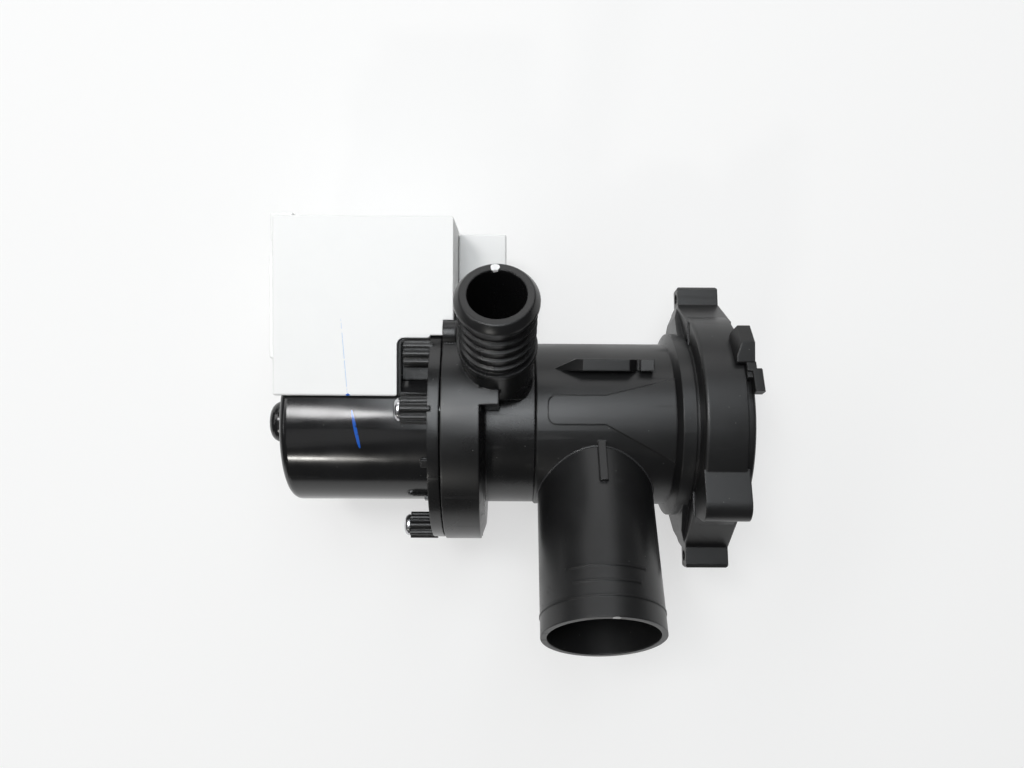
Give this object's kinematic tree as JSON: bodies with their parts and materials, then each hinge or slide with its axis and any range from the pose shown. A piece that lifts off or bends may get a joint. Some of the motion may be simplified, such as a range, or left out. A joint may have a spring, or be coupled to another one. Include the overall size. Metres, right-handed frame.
{
  "type": "washer drain pump",
  "caption": "Drain pump for a washing machine: side inlet, lint filter behind a bayonet cap, pump chamber with a ribbed outlet, and a synchronous motor with a coil block on one axis.",
  "frame": {"origin": "on the pump axis, in the plane of the mounting lugs' front faces", "axes": "+X along the pump axis out of the filter mouth, +Z away from the surface that the pump lies on in the picture, +Y towards the coil block's side"},
  "size_m": [0.1513, 0.1336, 0.0985],
  "materials": {
    "housing_plastic": "satin moulded black",
    "casing_plastic": "glossy moulded black",
    "cap_plastic": "deep black, smooth",
    "cover_plastic": "white, fine matt",
    "seal_rubber": "matt black",
    "screw_steel": "bright zinc plate",
    "terminal_metal": "tinned",
    "core_steel": "stacked laminations",
    "bobbin_plastic": "natural",
    "winding_copper": "enamelled copper wire",
    "can_plastic": "natural",
    "bearing_carbon": "carbon bush",
    "shaft_steel": "ground",
    "magnet_ferrite": "sintered ferrite",
    "impeller_plastic": "natural"
  },
  "bodies": {
    "pump": {"filter_housing": "housing_plastic", "volute_housing": "housing_plastic", "neck_seal": "seal_rubber", "motor_flange": "housing_plastic", "motor_casing": "casing_plastic", "chamber_seal": "seal_rubber", "flange_screws": "screw_steel", "coil_cover": "cover_plastic", "coil_base": "cover_plastic", "connector_housing": "cover_plastic", "terminal_blades": "terminal_metal", "stator_core": "core_steel", "upper_bobbin": "bobbin_plastic", "lower_bobbin": "bobbin_plastic", "upper_winding": "winding_copper", "lower_winding": "winding_copper", "rotor_can": "can_plastic", "rear_bearing": "bearing_carbon", "bearing_plate": "can_plastic", "front_bearing": "bearing_carbon", "shaft_seal": "seal_rubber", "cap_clip": "cap_plastic"},
    "rotor": {"rotor_shaft": "shaft_steel", "magnet_carrier": "impeller_plastic", "rotor_magnet": "magnet_ferrite", "drive_dog": "impeller_plastic"},
    "impeller": {"impeller": "impeller_plastic", "impeller_hub_cap": "impeller_plastic"},
    "filter_basket": {"filter_basket": "cap_plastic"},
    "filter_cap": {"filter_cap": "cap_plastic", "cap_seal": "seal_rubber"}
  },
  "joints": [
    {"name": "rotor_spin", "type": "hinge", "parent": "pump", "child": "rotor", "pos_m": [-0.117, 0, 0], "axis": [1, 0, 0], "continuous": true},
    {"name": "impeller_play", "type": "hinge", "parent": "rotor", "child": "impeller", "pos_m": [-0.083, 0, 0], "axis": [1, 0, 0], "range_deg": [-90, 90]},
    {"name": "filter_pull", "type": "slide", "parent": "pump", "child": "filter_basket", "axis": [1, 0, 0], "range_m": [0, 0.07]},
    {"name": "filter_turn", "type": "hinge", "parent": "filter_basket", "child": "filter_cap", "pos_m": [-0.012, 0, 0], "axis": [1, 0, 0], "range_deg": [-60, 0]}
  ]
}
